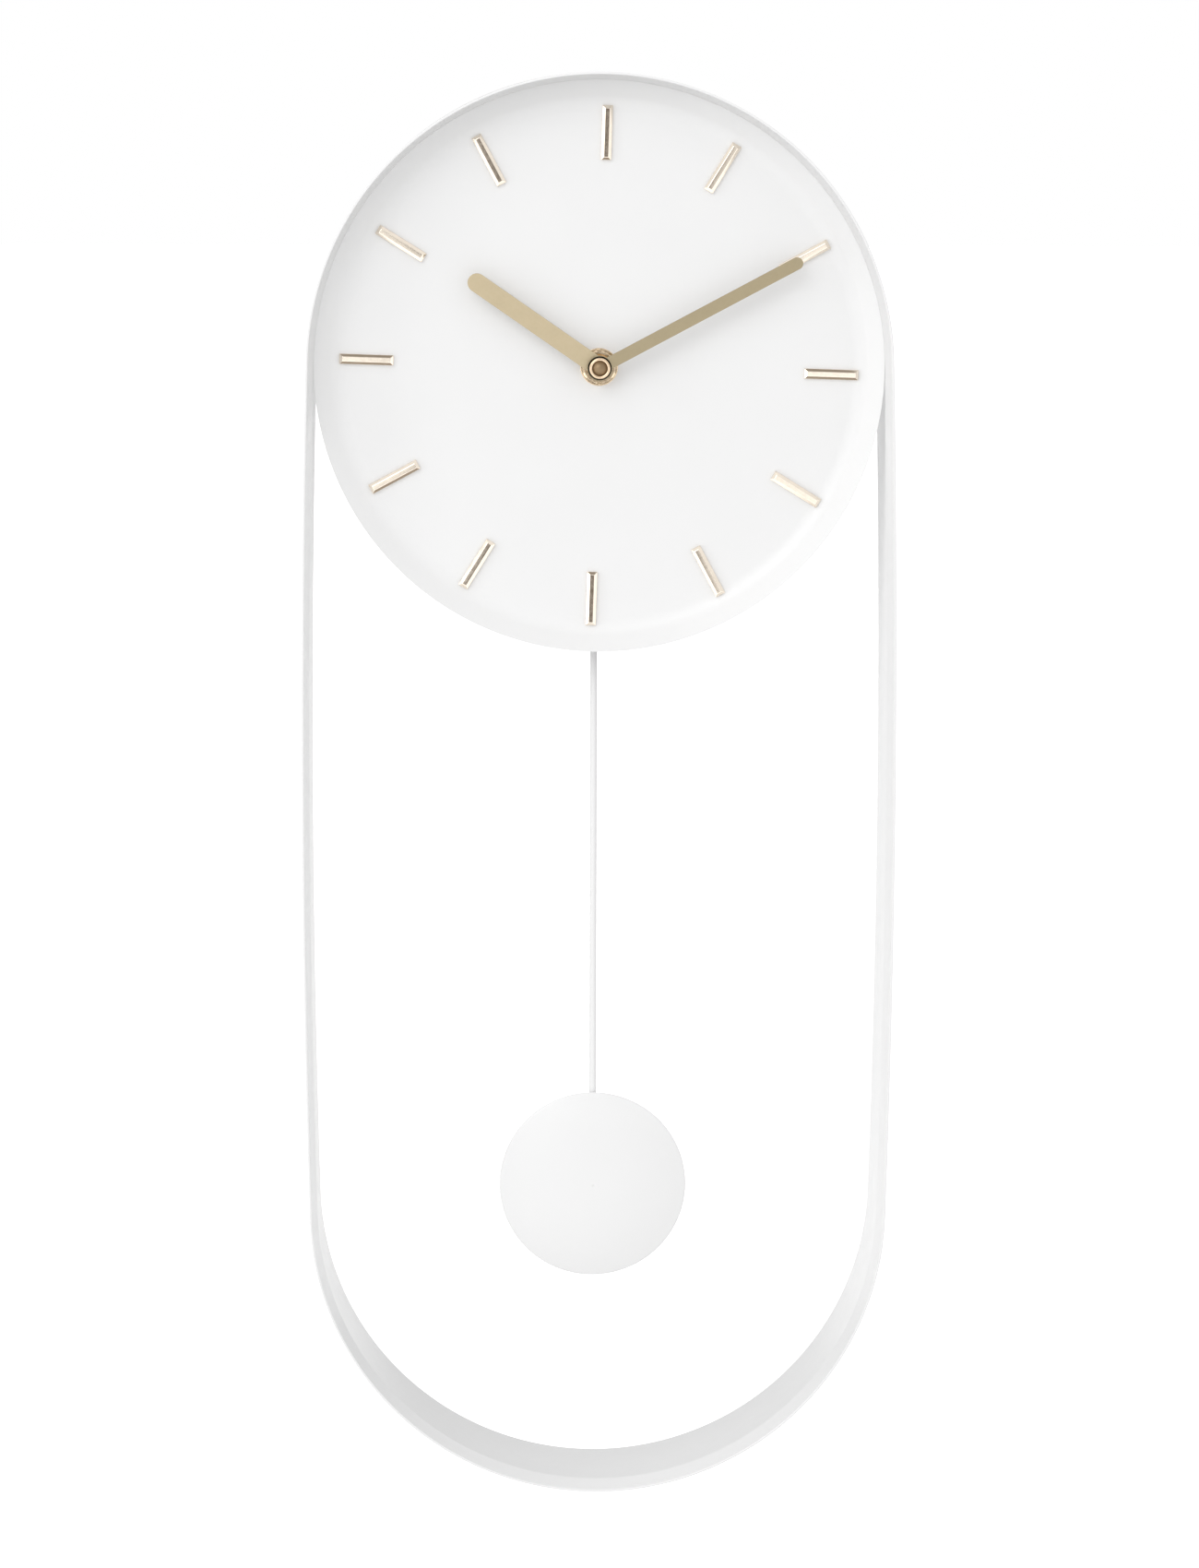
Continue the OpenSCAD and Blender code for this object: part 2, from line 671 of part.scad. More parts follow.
module pendulum_lever() color("white") on_pivot() difference() {
    union() {
        slab(lever_h, lever_h + lever_wall)
            let(a = lever_half[0], b = lever_half[1], foot = -eye_drop - lever_end)
                polygon([[-a, 0], [a, 0], [a, -magnet_drop], [b, -magnet_drop - lever_taper],
                    [b, foot], [-b, foot], [-b, -magnet_drop - lever_taper], [-a, -magnet_drop]]);
        disc(hub_h[0], hub_h[1], hub_r);
        translate([0, -magnet_drop]) disc(lever_h - 1, hub_h[1], magnet_r + magnet_cup);
        translate([0, -eye_drop]) disc(lever_h, rod_h + rod_d / 2 + 0.6, peg_r);
    }
    disc(hub_h[0] - 1, hub_h[1] + 1, pin_r + slip);
    translate([0, -magnet_drop]) disc(lever_h, hub_h[1] + 1, magnet_r);
}

module pendulum_magnet() color("gray") on_pivot() translate([0, -magnet_drop])
    disc(lever_h, hub_h[1] + 0.2, magnet_r);

module pendulum_rod() color("white") on_pivot() translate([0, -eye_drop, rod_h]) difference() {
    union() {
        translate([0, bob_y - pivot_y + eye_drop - rod_end]) rotate([-90, 0, 0])
            cylinder(r = rod_d / 2, h = pivot_y - bob_y - eye_drop + rod_end - peg_r - 0.8);
        disc(-eye_half, eye_half, eye_r);
    }
    disc(-rod_d, rod_d, peg_r + slip);
}

module bob() color("white") upright() translate([pendulum_x, bob_y]) rotate_extrude($fn = 120)
    intersection() {
        difference() {
            translate([0, bob_back_h + bob_wall + bob_dome - dome_r]) circle(r = dome_r, $fn = 720);
            translate([0, bob_back_h + bob_dome - dome_r]) circle(r = dome_r, $fn = 720);
        }
        translate([0, bob_back_h - 1]) square([bob_r, bob_dome + bob_wall + 2]);
    }

module bob_clip() color("white") upright() translate([pendulum_x, bob_y]) difference() {
    slab(rod_h - rod_d / 2 - clip_back, bob_back_h + bob_dome - 0.3)
        chamfered(-clip_half[0], clip_half[0], -clip_half[1], clip_half[1], 1);
    translate([0, -clip_half[1] - 1, rod_h]) rotate([-90, 0, 0])
        cylinder(r = rod_d / 2, h = 2 * clip_half[1] + 2);
}

band_frame();
dial_dish();
hour_markers();
hanger_bar();
side_tabs();
dish_studs();
stud_screws();
threaded_bush();
rubber_gasket();
brass_washer();
hex_nut();
movement_case();
movement_cover();
pendulum_cover();
battery();
contact_plus();
contact_minus();
circuit_board();
quartz_crystal();
stator();
coil_bobbin();
coil_winding();
drive_bobbin();
drive_winding();
pivot_pin();
rotor_magnet();
rotor_pinion();
fifth_wheel();
seconds_wheel();
third_wheel();
centre_wheel();
minute_arbor();
minute_wheel();
hour_wheel();
setting_knob();
hour_hand();
minute_hand();
hand_nut();
pendulum_lever();
pendulum_magnet();
pendulum_rod();
bob();
bob_clip();
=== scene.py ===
"""Looks of the pendulum wall clock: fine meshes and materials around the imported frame.

Lengths are in metres. Shapes are drawn as seen from the front, as (across, up, off the wall),
and stand() turns them into the frame, where the wall is y = 0 and the clock faces -Y."""
import json
import math

import bmesh
import bpy
from mathutils import Matrix, Vector


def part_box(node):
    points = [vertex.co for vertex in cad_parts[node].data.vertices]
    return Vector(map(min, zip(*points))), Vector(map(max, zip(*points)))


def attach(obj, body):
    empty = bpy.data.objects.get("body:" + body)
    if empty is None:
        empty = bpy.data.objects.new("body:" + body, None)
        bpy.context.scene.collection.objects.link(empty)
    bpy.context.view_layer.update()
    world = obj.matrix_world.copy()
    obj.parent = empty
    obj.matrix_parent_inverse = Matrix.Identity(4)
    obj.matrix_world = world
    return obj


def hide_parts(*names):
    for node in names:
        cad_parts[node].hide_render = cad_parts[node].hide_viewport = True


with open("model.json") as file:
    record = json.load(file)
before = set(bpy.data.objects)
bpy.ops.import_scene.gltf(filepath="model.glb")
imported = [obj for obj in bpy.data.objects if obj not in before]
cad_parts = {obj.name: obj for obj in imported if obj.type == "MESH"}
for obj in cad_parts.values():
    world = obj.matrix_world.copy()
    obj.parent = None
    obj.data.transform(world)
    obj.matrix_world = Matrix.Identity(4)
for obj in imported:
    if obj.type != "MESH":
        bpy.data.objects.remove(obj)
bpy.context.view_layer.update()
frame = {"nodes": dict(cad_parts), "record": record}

MM = 0.001
CASE, PENDULUM = "clock_case", "pendulum"


# ---- Places and sizes, from the frame ----

def middle(node):
    low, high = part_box(node)
    return (low + high) / 2


def off_wall(node):
    """(nearest, farthest) distance of a node from the wall."""
    low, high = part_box(node)
    return -high.y, -low.y


def half_width(node):
    low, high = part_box(node)
    return (high.x - low.x) / 2


LOOP_LOW, LOOP_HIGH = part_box("band_frame")
LOOP_DEPTH = -LOOP_LOW.y
LOOP_R = 100 * MM
LOOP_WALL = 2.5 * MM
LOOP_LIP = 0.8 * MM
LOOP_TAPER = 9 * MM
LOOP_EDGE = 0.3 * MM
LOOP_BULGE = LOOP_HIGH.x - LOOP_R
TOP_ARC = LOOP_HIGH.z - LOOP_R
HALF_SPAN = (LOOP_HIGH.z - LOOP_LOW.z) / 2 - LOOP_R
LOOP_MIDDLE = (LOOP_HIGH.z + LOOP_LOW.z) / 2

AXIS = middle("brass_washer")
FACE = off_wall("brass_washer")[0]
DISH_R = LOOP_R - LOOP_WALL
DISH_RIM = off_wall("dial_dish")[1]
DISH_WALL = 0.8 * MM
DISH_BEND = 10 * MM
DISH_SLOPE = 35
DISH_LIP = 0.06 * MM
DISH_HOLE = 4.1 * MM

MARKER_RING = 79.6 * MM
MARKER_LENGTH = 18.5 * MM
MARKER_WIDTH = 3.5 * MM
MARKER_HEIGHT = off_wall("hour_markers")[1] - FACE
MARKER_BEVEL = 0.98 * MM
MARKER_RISE = 0.72 * MM
DIAL_TURN = 1.75

HOUR_ANGLE, MINUTE_ANGLE = 304.6, 62.0
HOUR_BLADE = (54 * MM, 6.4 * MM, 4.2 * MM)
MINUTE_BLADE = (78 * MM, 4.2 * MM, 4.25 * MM)
HAND_WALL = 0.5 * MM
NEAR_AXIS = 0.0001 * MM

BOB = middle("bob")
BOB_R = half_width("bob")
BOB_BACK, BOB_FRONT = off_wall("bob")
BOB_WALL = 1.2 * MM
BOB_DOME = BOB_FRONT - BOB_BACK - BOB_WALL

CAMERA_LENS = 116.3
CAMERA_EYE = Vector((-44.8 * MM, LOOP_LOW.y - 1721 * MM, TOP_ARC + 95 * MM))
CAMERA_YAW, CAMERA_PITCH, CAMERA_ROLL = 0.0261, 0.1368, 0.0028


# ---- Mesh helpers ----

def stand(points, centre=(0, 0)):
    """(across, up, off the wall) points in the frame, about a centre given as (x, z)."""
    return [(centre[0] + x, -h, centre[1] + up) for x, up, h in points]


def add_mesh(name, verts, faces):
    mesh = bpy.data.meshes.new(name)
    mesh.from_pydata(verts, [], faces)
    mesh.validate()
    obj = bpy.data.objects.new(name, mesh)
    bpy.context.scene.collection.objects.link(obj)
    tidy = bmesh.new()
    tidy.from_mesh(mesh)
    bmesh.ops.remove_doubles(tidy, verts=tidy.verts, dist=1e-7)
    bmesh.ops.recalc_face_normals(tidy, faces=tidy.faces)
    tidy.to_mesh(mesh)
    tidy.free()
    return obj


def smooth(obj, weighted=True):
    """Smooth shading that keeps flat faces flat beside their rounded edges."""
    obj.data.polygons.foreach_set("use_smooth", [True] * len(obj.data.polygons))
    if weighted:
        normals = obj.modifiers.new("flat_faces", "WEIGHTED_NORMAL")
        normals.keep_sharp = True
    return obj


def soften(obj, width, segments=3, angle=30):
    """Rounds the edges of a piece, so that they catch the light."""
    weld = obj.modifiers.new("weld", "WELD")
    weld.merge_threshold = 1e-6
    bevel = obj.modifiers.new("edges", "BEVEL")
    bevel.width = width
    bevel.segments = segments
    bevel.limit_method = "ANGLE"
    bevel.angle_limit = math.radians(angle)
    bevel.use_clamp_overlap = True
    return smooth(obj)


def round_corners(corners, radius, steps=4):
    """A closed outline with each corner replaced by an arc of the given radius."""
    points = []
    count = len(corners)
    for i, corner in enumerate(corners):
        here = Vector(corner)
        back = (Vector(corners[i - 1]) - here).normalized()
        ahead = (Vector(corners[(i + 1) % count]) - here).normalized()
        half = back.angle(ahead) / 2
        reach = radius / math.tan(half)
        centre = here + (back + ahead).normalized() * radius / math.sin(half)
        start = here + back * reach - centre
        end = here + ahead * reach - centre
        turn = start.angle_signed(end)
        for k in range(steps + 1):
            points.append(centre + Matrix.Rotation(-turn * k / steps, 2) @ start)
    return [(p.x, p.y) for p in points]


def skin(rings, closed_path=True, caps=False):
    """Verts and faces that join equal closed rings of points, one after another."""
    size = len(rings[0])
    verts = [p for ring in rings for p in ring]
    faces = []
    last = len(rings) if closed_path else len(rings) - 1
    for i in range(last):
        a, b = i * size, (i + 1) % len(rings) * size
        for k in range(size):
            m = (k + 1) % size
            faces.append((a + k, a + m, b + m, b + k))
    if caps:
        faces.append(tuple(range(size)))
        faces.append(tuple(range(len(verts) - size, len(verts))))
    return verts, faces


def lathe(name, profile, centre, steps=128):
    """A closed (radius, off the wall) outline turned about an axis through centre (x, z)."""
    rings = []
    for i in range(steps):
        a = 2 * math.pi * i / steps
        ring = [(r * math.cos(a), r * math.sin(a), h) for r, h in profile]
        rings.append(stand(ring, centre))
    return add_mesh(name, *skin(rings))


def plate(name, outline, low, high, centre, width, segments=3):
    """A flat piece with rounded edges: an (across, up) outline between two distances."""
    count = len(outline)
    back = stand([(x, y, low) for x, y in outline], centre)
    front = stand([(x, y, high) for x, y in outline], centre)
    faces = [tuple(range(count)), tuple(range(count, 2 * count))]
    for i in range(count):
        k = (i + 1) % count
        faces.append((i, k, count + k, count + i))
    obj = add_mesh(name, back + front, faces)
    return soften(obj, width, segments, 50)


def turned(points, degrees):
    """(across, up) points turned clockwise, as the hands and markers are."""
    a = math.radians(degrees)
    cos, sin = math.cos(a), math.sin(a)
    return [(x * cos + y * sin, y * cos - x * sin) for x, y in points]


def arc(centre, radius, start, end, steps):
    """(across, up) points on an arc, with the angles in degrees."""
    angles = [math.radians(start + (end - start) * i / steps) for i in range(steps + 1)]
    return [(centre[0] + radius * math.cos(a), centre[1] + radius * math.sin(a)) for a in angles]


# ---- Materials ----

class Paint:
    """A node material, built step by step on one Principled shader."""

    def __init__(self, name, roughness, metallic=0.0):
        self.mat = bpy.data.materials.new(name)
        self.mat.use_nodes = True
        self.nodes = self.mat.node_tree.nodes
        self.links = self.mat.node_tree.links
        self.shader = self.nodes["Principled BSDF"]
        self.shader.inputs["Roughness"].default_value = roughness
        self.shader.inputs["Metallic"].default_value = metallic
        self.place = self.nodes.new("ShaderNodeTexCoord").outputs["Object"]
        self.height = None

    def set(self, socket, value):
        self.shader.inputs[socket].default_value = value
        return self

    def stretched(self, scale):
        mapping = self.nodes.new("ShaderNodeMapping")
        mapping.inputs["Scale"].default_value = scale
        self.links.new(self.place, mapping.inputs["Vector"])
        return mapping.outputs["Vector"]

    def noise(self, scale, detail=4.0, place=None):
        node = self.nodes.new("ShaderNodeTexNoise")
        node.inputs["Scale"].default_value = scale
        node.inputs["Detail"].default_value = detail
        self.links.new(place or self.place, node.inputs["Vector"])
        return node.outputs["Fac"]

    def ramp(self, value, stops):
        """Maps a 0 to 1 value through (position, colour) stops."""
        node = self.nodes.new("ShaderNodeValToRGB")
        node.color_ramp.elements.remove(node.color_ramp.elements[0])
        first = node.color_ramp.elements[0]
        first.position, first.color = stops[0][0], (*stops[0][1], 1)
        for position, colour in stops[1:]:
            node.color_ramp.elements.new(position).color = (*colour, 1)
        self.links.new(value, node.inputs["Fac"])
        return node.outputs["Color"]

    def span(self, value, low, high):
        """Maps a 0 to 1 value to a range."""
        node = self.nodes.new("ShaderNodeMapRange")
        node.inputs["From Min"].default_value = 0.3
        node.inputs["From Max"].default_value = 0.7
        node.inputs["To Min"].default_value = low
        node.inputs["To Max"].default_value = high
        self.links.new(value, node.inputs["Value"])
        return node.outputs["Result"]

    def colour(self, base, spread, scale):
        """Base colour that drifts a little lighter and darker."""
        dark = tuple(c * (1 - spread) for c in base)
        light = tuple(min(1.0, c * (1 + spread)) for c in base)
        tone = self.ramp(self.noise(scale), [(0.3, dark), (0.7, light)])
        self.links.new(tone, self.shader.inputs["Base Color"])
        return self

    def rough(self, low, high, scale, place=None):
        value = self.span(self.noise(scale, place=place), low, high)
        self.links.new(value, self.shader.inputs["Roughness"])
        return self

    def bump(self, value, strength, distance):
        node = self.nodes.new("ShaderNodeBump")
        node.inputs["Strength"].default_value = strength
        node.inputs["Distance"].default_value = distance
        self.links.new(value, node.inputs["Height"])
        if self.height:
            self.links.new(self.height, node.inputs["Normal"])
        self.height = node.outputs["Normal"]
        self.links.new(self.height, self.shader.inputs["Normal"])
        return self


def lacquer():
    """Satin white stoved paint with a faint orange peel."""
    paint = Paint("white_lacquer", 0.4).colour((0.775, 0.775, 0.775), 0.006, 35)
    paint.rough(0.34, 0.44, 260)
    paint.set("Coat Weight", 0.12).set("Coat Roughness", 0.22)
    paint.bump(paint.noise(900, 2.0), 0.05, 0.05 * MM)
    return paint.bump(paint.noise(160, 2.0), 0.04, 0.1 * MM).mat


def champagne_gloss():
    """Polished plating on the hour markers."""
    paint = Paint("champagne_gloss", 0.1, 1.0).colour((0.85, 0.765, 0.655), 0.03, 300)
    paint.rough(0.08, 0.13, 700)
    return paint.bump(paint.noise(1500, 3.0), 0.03, 0.02 * MM).mat


def champagne_matte(name, base):
    """Matte champagne paint on stamped aluminium, with a faint grain."""
    paint = Paint(name, 0.5, 0.75).colour(base, 0.02, 220)
    paint.rough(0.46, 0.56, 900)
    return paint.bump(paint.noise(2600, 3.0), 0.06, 0.02 * MM).mat


def brass(name, base, low, high):
    paint = Paint(name, low, 1.0).colour(base, 0.04, 500)
    paint.rough(low, high, 900)
    return paint.bump(paint.noise(1800, 3.0), 0.05, 0.02 * MM).mat


def zinc():
    """Zinc plate over rolled steel: fine grain along the strip and soft spangle."""
    paint = Paint("zinc_steel", 0.35, 1.0).colour((0.66, 0.67, 0.69), 0.06, 90)
    grain = paint.noise(60, 6.0, paint.stretched((1, 40, 40)))
    paint.links.new(paint.span(grain, 0.28, 0.42), paint.shader.inputs["Roughness"])
    return paint.bump(grain, 0.12, 0.03 * MM).mat


def moulded(name, base, roughness, grain, strength):
    """Injection-moulded plastic with a spark-eroded texture."""
    paint = Paint(name, roughness).colour(base, 0.05, 120)
    paint.rough(roughness - 0.06, roughness + 0.06, 400)
    return paint.bump(paint.noise(grain, 3.0), strength, 0.05 * MM).mat


def rubber():
    paint = Paint("rubber", 0.75).colour((0.03, 0.03, 0.032), 0.15, 300)
    return paint.bump(paint.noise(1200, 3.0), 0.2, 0.05 * MM).mat


def cell_jacket():
    """Plain grey foil jacket between the cell's bare steel ends."""
    paint = Paint("cell_jacket", 0.28, 0.6)
    along = paint.nodes.new("ShaderNodeSeparateXYZ")
    paint.links.new(paint.place, along.inputs["Vector"])
    span = paint.nodes.new("ShaderNodeMapRange")
    low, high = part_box("battery")
    span.inputs["From Min"].default_value = low.x
    span.inputs["From Max"].default_value = high.x
    paint.links.new(along.outputs["X"], span.inputs["Value"])
    steel, foil = (0.62, 0.62, 0.62), (0.17, 0.187, 0.214)
    stops = [(0.0, steel), (0.012, foil), (0.955, foil), (0.96, steel)]
    tone = paint.ramp(span.outputs["Result"], stops)
    paint.links.new(tone, paint.shader.inputs["Base Color"])
    paint.rough(0.22, 0.34, 300)
    return paint.bump(paint.noise(700, 2.0), 0.05, 0.03 * MM).mat


def nickel():
    paint = Paint("nickel", 0.28, 1.0).colour((0.72, 0.69, 0.62), 0.05, 200)
    paint.rough(0.22, 0.36, 900)
    return paint.bump(paint.noise(1400, 3.0), 0.06, 0.02 * MM).mat


def board_green():
    """Solder mask with copper tracks showing through as a lighter green."""
    paint = Paint("board_green", 0.35)
    cells = paint.nodes.new("ShaderNodeTexBrick")
    cells.inputs["Scale"].default_value = 420
    cells.inputs["Mortar Size"].default_value = 0.03
    cells.inputs["Color1"].default_value = (0.02, 0.12, 0.05, 1)
    cells.inputs["Color2"].default_value = (0.025, 0.15, 0.06, 1)
    cells.inputs["Mortar"].default_value = (0.08, 0.3, 0.12, 1)
    paint.links.new(paint.place, cells.inputs["Vector"])
    paint.links.new(cells.outputs["Color"], paint.shader.inputs["Base Color"])
    return paint.bump(cells.outputs["Fac"], 0.2, 0.03 * MM).mat


def copper_wire():
    """Close turns of enamelled wire."""
    paint = Paint("copper_wire", 0.3, 0.9).colour((0.62, 0.25, 0.10), 0.1, 500)
    turns = paint.nodes.new("ShaderNodeTexWave")
    turns.inputs["Scale"].default_value = 2200
    paint.links.new(paint.place, turns.inputs["Vector"])
    return paint.bump(turns.outputs["Fac"], 0.5, 0.05 * MM).mat


def sintered():
    paint = Paint("magnet", 0.5, 0.6).colour((0.16, 0.16, 0.17), 0.15, 700)
    paint.rough(0.4, 0.6, 900)
    return paint.bump(paint.noise(1500, 4.0), 0.25, 0.04 * MM).mat


SLOTS = {
    "white_lacquer": lacquer(),
    "champagne_gloss": champagne_gloss(),
    "champagne_matte": champagne_matte("champagne_matte", (0.488, 0.41, 0.275)),
    "brass": brass("brass", (0.84, 0.68, 0.48), 0.12, 0.2),
    "zinc_steel": zinc(),
    "black_plastic": moulded("black_plastic", (0.022, 0.022, 0.024), 0.5, 1100, 0.25),
    "white_plastic": moulded("white_plastic", (0.72, 0.70, 0.64), 0.4, 1400, 0.08),
    "rubber": rubber(),
    "cell_jacket": cell_jacket(),
    "nickel": nickel(),
    "board_green": board_green(),
    "copper_wire": copper_wire(),
    "magnet": sintered(),
}
# Darker copy of the hour hand's champagne paint, for the minute hand and its hub: painted shade.
MINUTE_MATTE_PAINTED_SHADE = champagne_matte("champagne_matte_minute_painted_shade", (0.355, 0.298, 0.193))
CAP_BRASS = brass("brass_cap", (0.78, 0.60, 0.42), 0.14, 0.22)
# Darker, rougher copy of the cap brass for the floor of the cap nut's well: painted shade in the
# recess.
CAP_WELL_PAINTED_SHADE = brass("brass_cap_well_painted_shade", (0.26, 0.185, 0.11), 0.4, 0.5)


def dress(obj, slot, body, *nodes, material=None):
    """Gives a new piece its material, taken from the slot unless one is passed, puts it in its
    body, and hides the CAD nodes it stands for.
    """
    obj.data.materials.clear()
    obj.data.materials.append(material or SLOTS[slot])
    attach(obj, body)
    if nodes:
        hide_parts(*nodes)
    return obj


# ---- Loop and dial ----

def loop_path(steps_end=96, steps_side=48):
    """(x, z, outward x, outward z) around the loop's outer outline, top arc first."""
    wide = LOOP_R + LOOP_BULGE
    side_r = (HALF_SPAN ** 2 + wide ** 2 - LOOP_R ** 2) / (2 * LOOP_BULGE)
    far = side_r - wide
    lean = math.degrees(math.asin(HALF_SPAN / (side_r - LOOP_R)))
    arcs = [(0, HALF_SPAN, LOOP_R, lean, 180 - lean, steps_end),
            (far, 0, side_r, 180 - lean, 180 + lean, steps_side),
            (0, -HALF_SPAN, LOOP_R, 180 + lean, 360 - lean, steps_end),
            (-far, 0, side_r, -lean, lean, steps_side)]
    path = []
    for x, z, r, start, end, steps in arcs:
        for i in range(steps):
            a = math.radians(start + (end - start) * i / steps)
            out = Vector((math.cos(a), math.sin(a)))
            path.append((x + r * out.x, z + r * out.y, out.x, out.y))
    return path


def build_loop():
    """One strip on its edge, thinner at the front edge than at the wall."""
    section = [(0, 0), (0, LOOP_DEPTH), (LOOP_LIP, LOOP_DEPTH),
               (LOOP_WALL, LOOP_DEPTH - LOOP_TAPER), (LOOP_WALL, 0)]
    section = round_corners(section, LOOP_EDGE)
    rings = []
    for x, z, out_x, out_z in loop_path():
        ring = [(x - out_x * inset, z - out_z * inset, h) for inset, h in section]
        rings.append(stand(ring, (0, LOOP_MIDDLE)))
    loop = add_mesh("loop_strip", *skin(rings))
    dress(smooth(loop), "white_lacquer", CASE, "band_frame")


def build_dish():
    """Flat face that bends up into a straight slope, in one sheet with a rounded lip."""
    tilt = math.radians(DISH_SLOPE)
    climb = DISH_RIM - FACE - DISH_BEND * (1 - math.cos(tilt))
    foot = DISH_R - DISH_BEND * math.sin(tilt) - climb / math.tan(tilt)
    bend = (foot, FACE + DISH_BEND)
    lip = (DISH_R - DISH_LIP, DISH_RIM - DISH_LIP * (math.tan(tilt) + 1 / math.cos(tilt)))
    spokes = [DISH_HOLE + (foot - DISH_HOLE) * k / 6 for k in range(6)]
    profile = [(r, FACE) for r in spokes] + arc(bend, DISH_BEND, 270, 270 + DISH_SLOPE, 20)
    profile += arc(lip, DISH_LIP, 90 + DISH_SLOPE, 0, 6)
    profile.append((DISH_R, DISH_RIM - DISH_WALL / math.cos(tilt)))
    profile += arc(bend, DISH_BEND + DISH_WALL, 270 + DISH_SLOPE, 270, 20)
    profile += [(r, FACE - DISH_WALL) for r in reversed(spokes)]
    dish = lathe("dial_dish_sheet", profile, (AXIS.x, AXIS.z), 256)
    dress(smooth(dish), "white_lacquer", CASE, "dial_dish")


def marker_verts():
    """Corners of one marker about its middle, as (across, along, off the face): a hipped bar."""
    foot, end = MARKER_WIDTH / 2, MARKER_LENGTH / 2
    skirt = MARKER_HEIGHT - MARKER_RISE
    levels = [(foot, end, 0), (foot, end, skirt),
              (foot - MARKER_BEVEL, end - MARKER_BEVEL, MARKER_HEIGHT)]
    return [[(-x, -y, h), (x, -y, h), (x, y, h), (-x, y, h)] for x, y, h in levels]


def build_markers():
    for hour in range(1, 13):
        angle = 30 * hour + DIAL_TURN
        rings = []
        for ring in marker_verts():
            flat = turned([(x, y + MARKER_RING) for x, y, _ in ring], angle)
            corners = [(x, y, FACE + h) for (x, y), (_, _, h) in zip(flat, ring)]
            rings.append(stand(corners, (AXIS.x, AXIS.z)))
        marker = add_mesh(f"hour_marker_{hour}", *skin(rings, closed_path=False, caps=True))
        soften(marker, 0.13 * MM, segments=4, angle=20)
        dress(marker, "champagne_gloss", CASE, "hour_markers")


# ---- Hands and shaft stack ----

def hand_outline(length, width, hub_r):
    """Hub circle at the axis running into a blade with a round end."""
    half = width / 2
    lean = math.degrees(math.asin(min(0.99, half / hub_r)))
    hub = arc((0, 0), hub_r, 90 + lean, 450 - lean, 48)
    tip = arc((0, length - half), half, 0, 180, 24)
    return hub + tip


def build_hand(name, node, blade, angle, body, material):
    outline = turned(hand_outline(*blade), angle)
    high = off_wall(node)[1]
    hand = plate(name, outline, high - HAND_WALL, high, (AXIS.x, AXIS.z), 0.09 * MM)
    return dress(hand, "champagne_matte", body, node, material=material)


def build_hands():
    build_hand("hour_hand_blade", "hour_hand", HOUR_BLADE, HOUR_ANGLE,
               "hour_works", SLOTS["champagne_matte"])
    # The minute hand and its hub take the darker copy of the hand paint: painted shade.
    build_hand("minute_hand_blade", "minute_hand", MINUTE_BLADE, MINUTE_ANGLE,
               "minute_works", MINUTE_MATTE_PAINTED_SHADE)
    low, high = off_wall("minute_hand")
    bore, rim = 1.5 * MM, 4.3 * MM
    hub = [(bore, low), (rim - 0.4 * MM, low), (rim, low + 0.3 * MM),
           (rim, high - 0.12 * MM), (rim - 0.15 * MM, high), (bore, high)]
    boss = lathe("minute_hand_hub", hub, (AXIS.x, AXIS.z), 96)
    dress(soften(boss, 0.08 * MM), "champagne_matte", "minute_works", material=MINUTE_MATTE_PAINTED_SHADE)


def radial(name, levels, reach, centre, steps=180):
    """A solid whose radius depends on angle and height, with a bore down its middle."""
    rings = []
    for i in range(steps):
        a = 2 * math.pi * i / steps
        ring = []
        for limit, h in levels:
            r = min(limit, reach(a))
            ring.append((r * math.cos(a), r * math.sin(a), h))
        rings.append(stand(ring, centre))
    return add_mesh(name, *skin(rings))


def hexagon(apothem):
    def reach(a):
        return apothem / math.cos((a + math.pi / 6) % (math.pi / 3) - math.pi / 6)
    return reach


def build_washer(centre):
    low, high = off_wall("brass_washer")
    r, bore, chamfer = half_width("brass_washer"), 4.05 * MM, 0.15 * MM
    outline = [(bore, low), (r, low), (r, high - chamfer), (r - chamfer, high), (bore, high)]
    washer = soften(lathe("nut_washer", outline, centre, 96), 0.06 * MM)
    dress(washer, "brass", CASE, "brass_washer")


def build_nut(centre):
    low, high = off_wall("hex_nut")
    flat = half_width("hex_nut")
    bore, corner, rim = 4 * MM, flat * 1.2, flat * 1.01
    chamfer = 0.75 * MM
    levels = [(bore, low), (corner, low), (corner, high - chamfer),
              (flat * 1.1, high - chamfer * 0.6), (rim, high - chamfer * 0.25),
              (rim - 0.2 * MM, high), (bore + 0.5 * MM, high), (bore, high - 0.35 * MM)]
    nut = radial("clamp_nut", levels, hexagon(flat), centre)
    dress(smooth(nut, weighted=False), "brass", CASE, "hex_nut")
    nut.data.set_sharp_from_angle(angle=math.radians(28))


def build_bush(centre):
    """Thread drawn as plain grooves."""
    low, high = off_wall("threaded_bush")
    pitch = 0.5 * MM
    crest, root, bore = 4 * MM, 3.8 * MM, 3.05 * MM
    turns = int((high - low) / pitch)
    outline = [(bore, low)]
    for k in range(turns):
        outline += [(root, low + k * pitch), (crest, low + (k + 0.5) * pitch)]
    outline += [(root, high), (bore, high)]
    bush = soften(lathe("threaded_bush_turned", outline, centre, 96), 0.03 * MM, 2)
    dress(bush, "brass", CASE, "threaded_bush")


